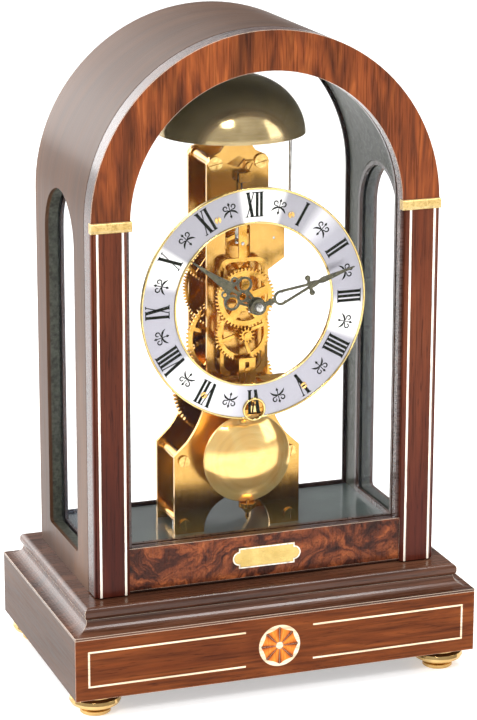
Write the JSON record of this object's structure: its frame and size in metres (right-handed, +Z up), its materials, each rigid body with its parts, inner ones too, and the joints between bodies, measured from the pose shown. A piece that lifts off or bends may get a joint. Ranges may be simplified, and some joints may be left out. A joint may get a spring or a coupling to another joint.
{
  "type": "skeleton mantel clock",
  "caption": "Arched glazed mahogany mantel clock with skeleton movement, silvered chapter ring, lens pendulum and bell; the door opens and the wheels turn in mesh.",
  "frame": {"origin": "centre of the footprint, on the plane that the feet stand on", "axes": "+Z up; -Y is the dial side; +X is to the right as seen from the dial side"},
  "size_m": [0.26, 0.1636, 0.4088],
  "materials": {
    "mahogany": "satin lacquer",
    "mahogany_dark": "satin lacquer",
    "mahogany_veneer": "satin lacquer",
    "rosewood_veneer": "satin lacquer",
    "boxwood": "satin lacquer",
    "satinwood": "satin lacquer",
    "green_board": "satin",
    "clear_glass": "polished",
    "polished_brass": "polished and lacquered",
    "bell_bronze": "polished",
    "dark_bronze": "satin",
    "silvered_metal": "satin",
    "steel": "polished"
  },
  "bodies": {
    "case": {"bun_feet": "polished_brass", "plinth_carcass": "mahogany", "plinth_veneer": "mahogany_veneer", "cream_inlay": "boxwood", "rosette_petals": "satinwood", "cove_moulding": "mahogany", "case_slab": "mahogany", "tunnel_shell": "mahogany", "interior_floor": "green_board", "case_glasses": "clear_glass", "case_beads": "mahogany", "ball_catch": "steel", "hinge_case_leaves": "polished_brass", "hinge_case_screws": "steel", "front_plate": "polished_brass", "rear_plate": "polished_brass", "plate_pillars": "polished_brass", "plate_screws": "polished_brass", "seat_screws": "steel", "bell_stand": "polished_brass", "bell": "bell_bronze", "bell_nut": "polished_brass", "suspension_cock": "polished_brass", "dial_bridges": "polished_brass", "dial_screws": "polished_brass", "chapter_ring": "silvered_metal", "dial_trim": "polished_brass", "plate_studs": "steel"},
    "door": {"door_frame": "mahogany", "door_veneer": "rosewood_veneer", "pilasters": "mahogany_dark", "pilaster_stringing": "boxwood", "capitals": "polished_brass", "nameplate": "polished_brass", "door_glass": "clear_glass", "door_bead": "mahogany_dark", "hinge_door_leaves": "polished_brass", "hinge_door_screws": "steel"},
    "barrel_drum": {"barrel": "polished_brass", "mainspring": "steel"},
    "winding": {"winding_arbor": "steel", "ratchet_wheel": "steel"},
    "click_pawl": {"click": "polished_brass"},
    "second_arbor": {"second_wheel": "polished_brass"},
    "centre_arbor": {"centre_wheel": "polished_brass", "cannon_pinion": "polished_brass", "minute_hand": "dark_bronze", "hand_nut": "dark_bronze"},
    "hour_pipe": {"hour_wheel": "polished_brass", "hour_hand": "dark_bronze"},
    "minute_stud_wheel": {"minute_wheel": "polished_brass"},
    "third_arbor": {"third_wheel": "polished_brass"},
    "escape_arbor": {"escape_wheel": "polished_brass"},
    "anchor_arbor": {"anchor": "steel"},
    "pendulum": {"suspension_spring": "polished_brass", "pendulum_leader": "polished_brass", "pendulum_rod": "polished_brass"},
    "bob_body": {"bob": "polished_brass"},
    "nut": {"rating_nut": "polished_brass"},
    "hammer_body": {"hammer": "steel"}
  },
  "joints": [
    {"name": "door_hinge", "type": "hinge", "parent": "case", "child": "door", "pos_m": [0.1127, -0.045, 0.192], "axis": [0, 0, 1], "range_deg": [0, 110]},
    {"name": "hands_spin", "type": "hinge", "parent": "case", "child": "centre_arbor", "pos_m": [0, 0, 0.2375], "axis": [0, 1, 0], "continuous": true},
    {"name": "hour_spin", "type": "hinge", "parent": "case", "child": "hour_pipe", "pos_m": [0, -0.028, 0.2375], "axis": [0, 1, 0], "continuous": true},
    {"name": "minute_wheel_spin", "type": "hinge", "parent": "case", "child": "minute_stud_wheel", "pos_m": [0, -0.016, 0.2145], "axis": [0, 1, 0], "continuous": true},
    {"name": "second_spin", "type": "hinge", "parent": "case", "child": "second_arbor", "pos_m": [-0.005, 0.015, 0.2075], "axis": [0, 1, 0], "continuous": true},
    {"name": "barrel_spin", "type": "hinge", "parent": "case", "child": "barrel_drum", "pos_m": [0, 0.015, 0.171], "axis": [0, 1, 0], "continuous": true},
    {"name": "third_spin", "type": "hinge", "parent": "case", "child": "third_arbor", "pos_m": [-0.008, 0.015, 0.26676], "axis": [0, 1, 0], "continuous": true},
    {"name": "escape_spin", "type": "hinge", "parent": "case", "child": "escape_arbor", "pos_m": [0.001, 0.015, 0.293], "axis": [0, 1, 0], "continuous": true},
    {"name": "pendulum_swing", "type": "hinge", "parent": "case", "child": "pendulum", "pos_m": [0.001, -0.008, 0.311], "axis": [0, 1, 0], "range_deg": [-3.5, 3.5]},
    {"name": "anchor_rock", "type": "hinge", "parent": "case", "child": "anchor_arbor", "pos_m": [0.001, 0.015, 0.311], "axis": [0, 1, 0], "range_deg": [-3.5, 3.5]},
    {"name": "bob_slide", "type": "slide", "parent": "pendulum", "child": "bob_body", "axis": [0, 0, 1], "range_m": [-0.001, 0.001]},
    {"name": "rating_nut_turn", "type": "hinge", "parent": "bob_body", "child": "nut", "pos_m": [0.001, -0.0199, 0.104], "axis": [0, 0, 1], "range_deg": [-610, 610]},
    {"name": "winding_turn", "type": "hinge", "parent": "case", "child": "winding", "pos_m": [0, 0.015, 0.171], "axis": [0, 1, 0], "continuous": true},
    {"name": "click_lift", "type": "hinge", "parent": "case", "child": "click_pawl", "pos_m": [0.0043, -0.005, 0.1844], "axis": [0, -1, 0], "range_deg": [0, 15], "stiffness_Nm_per_rad": 0.002},
    {"name": "hammer_swing", "type": "hinge", "parent": "case", "child": "hammer_body", "pos_m": [0.0237, 0.013, 0.2705], "axis": [0, 1, 0], "range_deg": [-5, 1.5], "stiffness_Nm_per_rad": 0.3}
  ],
  "couplings": [
    {"joint": "hour_spin", "follows": "hands_spin", "ratio": 0.083333},
    {"joint": "minute_wheel_spin", "follows": "hands_spin", "ratio": -0.33333},
    {"joint": "second_spin", "follows": "hands_spin", "ratio": -0.2},
    {"joint": "barrel_spin", "follows": "hands_spin", "ratio": 0.025},
    {"joint": "third_spin", "follows": "hands_spin", "ratio": -12},
    {"joint": "escape_spin", "follows": "hands_spin", "ratio": 120},
    {"joint": "anchor_rock", "follows": "pendulum_swing", "ratio": 1},
    {"joint": "rating_nut_turn", "follows": "bob_slide", "rad_per_m": 10472}
  ]
}
